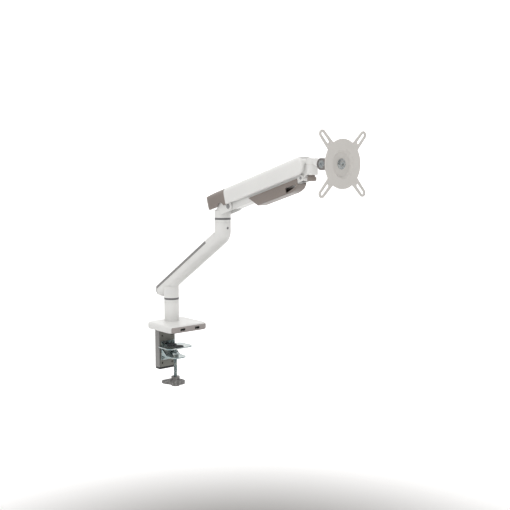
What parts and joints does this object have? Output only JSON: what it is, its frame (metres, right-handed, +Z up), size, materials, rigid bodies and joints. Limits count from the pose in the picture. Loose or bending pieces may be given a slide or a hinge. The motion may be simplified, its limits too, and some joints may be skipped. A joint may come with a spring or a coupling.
{
  "type": "monitor arm",
  "caption": "Desk-clamp monitor arm: sloping lower arm, sprung parallel upper arm with cable trough, tilting and rotating slotted screen plate.",
  "frame": {"origin": "on the post axis at the desk surface, the underside of the base's rubber pad", "axes": "+Z up along the post; the arm reaches along -Y towards the user; +X to the user's left when seen from the front of the screen"},
  "size_m": [0.1134, 0.5643, 0.5445],
  "materials": {
    "white_paint": "powder-coated white, fine satin texture",
    "plate_paint": "powder-coated warm pale grey",
    "grey_paint": "powder-coated mid grey",
    "warm_grey_plastic": "fine-grained moulded plastic",
    "grey_plastic": "moulded plastic, light grain",
    "taupe_plastic": "moulded plastic, satin",
    "dark_plastic": "moulded plastic",
    "black_plastic": "moulded plastic",
    "black_rubber": "matt",
    "zinc_steel": "blue-white zinc plate",
    "bare_steel": "machined",
    "spring_steel": "oiled",
    "nickel": "nickel plate",
    "nylon": "natural nylon",
    "board": "solder mask"
  },
  "bodies": {
    "base": {"desk_pad": "black_rubber", "clamp_bracket": "grey_paint", "base_cover": "white_paint", "usb_bezel": "warm_grey_plastic", "usb_sockets": "nickel", "usb_tongues": "black_plastic", "usb_board": "board", "cable_grommet": "black_rubber", "post": "white_paint", "post_screws": "zinc_steel", "bracket_cover": "grey_plastic", "bracket_foot": "black_plastic", "jaw_bracket": "zinc_steel", "jaw_screws": "zinc_steel", "lower_ring": "dark_plastic", "base_shaft": "bare_steel"},
    "clamp_foot": {"pressure_plate": "zinc_steel", "pressure_pads": "black_rubber"},
    "clamp_spindle": {"clamp_screw": "zinc_steel", "clamp_knob": "grey_plastic"},
    "lower_arm_body": {"lower_arm": "white_paint", "lower_arm_cover": "grey_plastic", "elbow_set_screw": "bare_steel", "base_bush": "nylon", "elbow_bush": "nylon", "upper_ring": "dark_plastic"},
    "elbow": {"elbow_bracket": "white_paint", "elbow_shaft": "bare_steel", "link_rear_pins": "bare_steel", "lift_bushes": "nylon", "spring_anchor_pin": "bare_steel"},
    "spring_arm": {"arm_housing": "white_paint", "end_cap": "taupe_plastic", "frame_plates": "bare_steel", "frame_spacers": "bare_steel", "main_pivot_pin": "bare_steel", "wrist_pivot_pin": "bare_steel", "spring_seat": "bare_steel", "seat_screws": "zinc_steel", "lift_spring": "spring_steel"},
    "spring_plunger": {"spring_rod": "bare_steel"},
    "link": {"lower_link": "white_paint", "cable_trough": "taupe_plastic"},
    "wrist": {"wrist_block": "white_paint", "wrist_bush": "nylon", "link_front_pin": "bare_steel", "swivel_bush": "nylon"},
    "head": {"swivel_bracket": "white_paint", "swivel_pin": "bare_steel", "swivel_cap": "taupe_plastic", "swivel_washer": "nylon"},
    "tilt_head": {"tilt_block": "white_paint", "tilt_covers": "dark_plastic", "tilt_bolt": "zinc_steel", "tilt_washers": "nylon", "rotation_bolt": "zinc_steel", "rotation_washers": "zinc_steel"},
    "plate": {"vesa_plate": "plate_paint"}
  },
  "joints": [
    {"name": "clamp_travel", "type": "slide", "parent": "base", "child": "clamp_foot", "axis": [0, 0, 1], "range_m": [-0.008, 0.028]},
    {"name": "clamp_turn", "type": "hinge", "parent": "clamp_foot", "child": "clamp_spindle", "pos_m": [0, -0.012, -0.06], "axis": [0, 0, 1], "range_deg": [-2304, 8064]},
    {"name": "base_swivel", "type": "hinge", "parent": "base", "child": "lower_arm_body", "pos_m": [0, 0, 0.07], "axis": [0, 0, 1], "range_deg": [-90, 90]},
    {"name": "elbow_swivel", "type": "hinge", "parent": "lower_arm_body", "child": "elbow", "pos_m": [0, -0.184, 0.25], "axis": [0, 0, 1], "range_deg": [-90, 90]},
    {"name": "arm_lift", "type": "hinge", "parent": "elbow", "child": "spring_arm", "pos_m": [0, -0.214, 0.297], "axis": [-1, 0, 0], "range_deg": [-45, 25]},
    {"name": "link_swing", "type": "hinge", "parent": "elbow", "child": "link", "pos_m": [0, -0.22, 0.2765], "axis": [-1, 0, 0], "range_deg": [-45, 25]},
    {"name": "wrist_level", "type": "hinge", "parent": "spring_arm", "child": "wrist", "pos_m": [0, -0.41597, 0.35453], "axis": [-1, 0, 0], "range_deg": [-25, 45]},
    {"name": "spring_slide", "type": "slide", "parent": "spring_arm", "child": "spring_plunger", "axis": [0, -0.9461, 0.3239], "range_m": [-0.00455, 0.0082], "deforming": ["lift_spring"]},
    {"name": "head_swivel", "type": "hinge", "parent": "wrist", "child": "head", "pos_m": [0, -0.44, 0.35], "axis": [0, 0, 1], "range_deg": [-90, 90]},
    {"name": "head_tilt", "type": "hinge", "parent": "head", "child": "tilt_head", "pos_m": [0, -0.479, 0.3584], "axis": [-1, 0, 0], "range_deg": [-45, 45]},
    {"name": "plate_rotate", "type": "hinge", "parent": "tilt_head", "child": "plate", "pos_m": [0, -0.51, 0.3584], "axis": [0, -1, 0], "continuous": true}
  ],
  "couplings": [
    {"joint": "clamp_turn", "follows": "clamp_travel", "rad_per_m": 5026.5},
    {"joint": "link_swing", "follows": "arm_lift", "ratio": 1},
    {"joint": "wrist_level", "follows": "arm_lift", "ratio": -1},
    {"joint": "spring_slide", "follows": "arm_lift", "m_per_rad": -0.0104}
  ]
}
